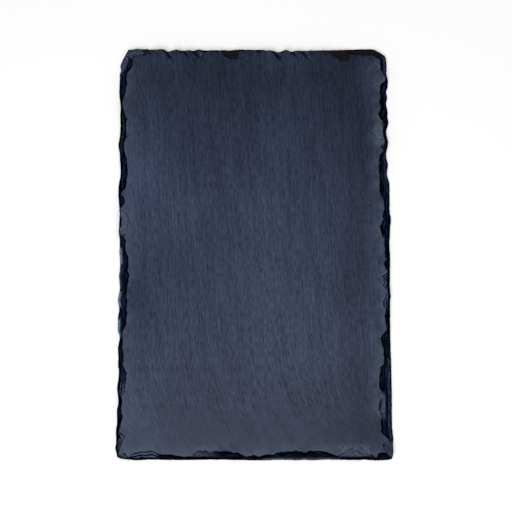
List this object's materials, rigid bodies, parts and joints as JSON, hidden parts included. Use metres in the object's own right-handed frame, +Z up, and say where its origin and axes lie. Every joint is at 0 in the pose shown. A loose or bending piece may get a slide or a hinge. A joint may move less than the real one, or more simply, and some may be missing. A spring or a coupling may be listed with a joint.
{
  "type": "slate plate",
  "caption": "Rectangular slate serving plate: one thin split slab with a flat cleft face and rough, flaked edges, laid flat to serve food on or to stand dishes on.",
  "frame": {"origin": "middle of the underside, at the bottom centre of the bounding box", "axes": "+X to the right across the plate, +Y along its length to the far end, +Z up out of the split face"},
  "size_m": [0.1986, 0.3, 0.006],
  "materials": {
    "slate": "matt blue-grey cleft slate with a fine grain along its length, and darker broken edges"
  },
  "bodies": {
    "root": {"slate_plate": "slate"}
  },
  "joints": []
}
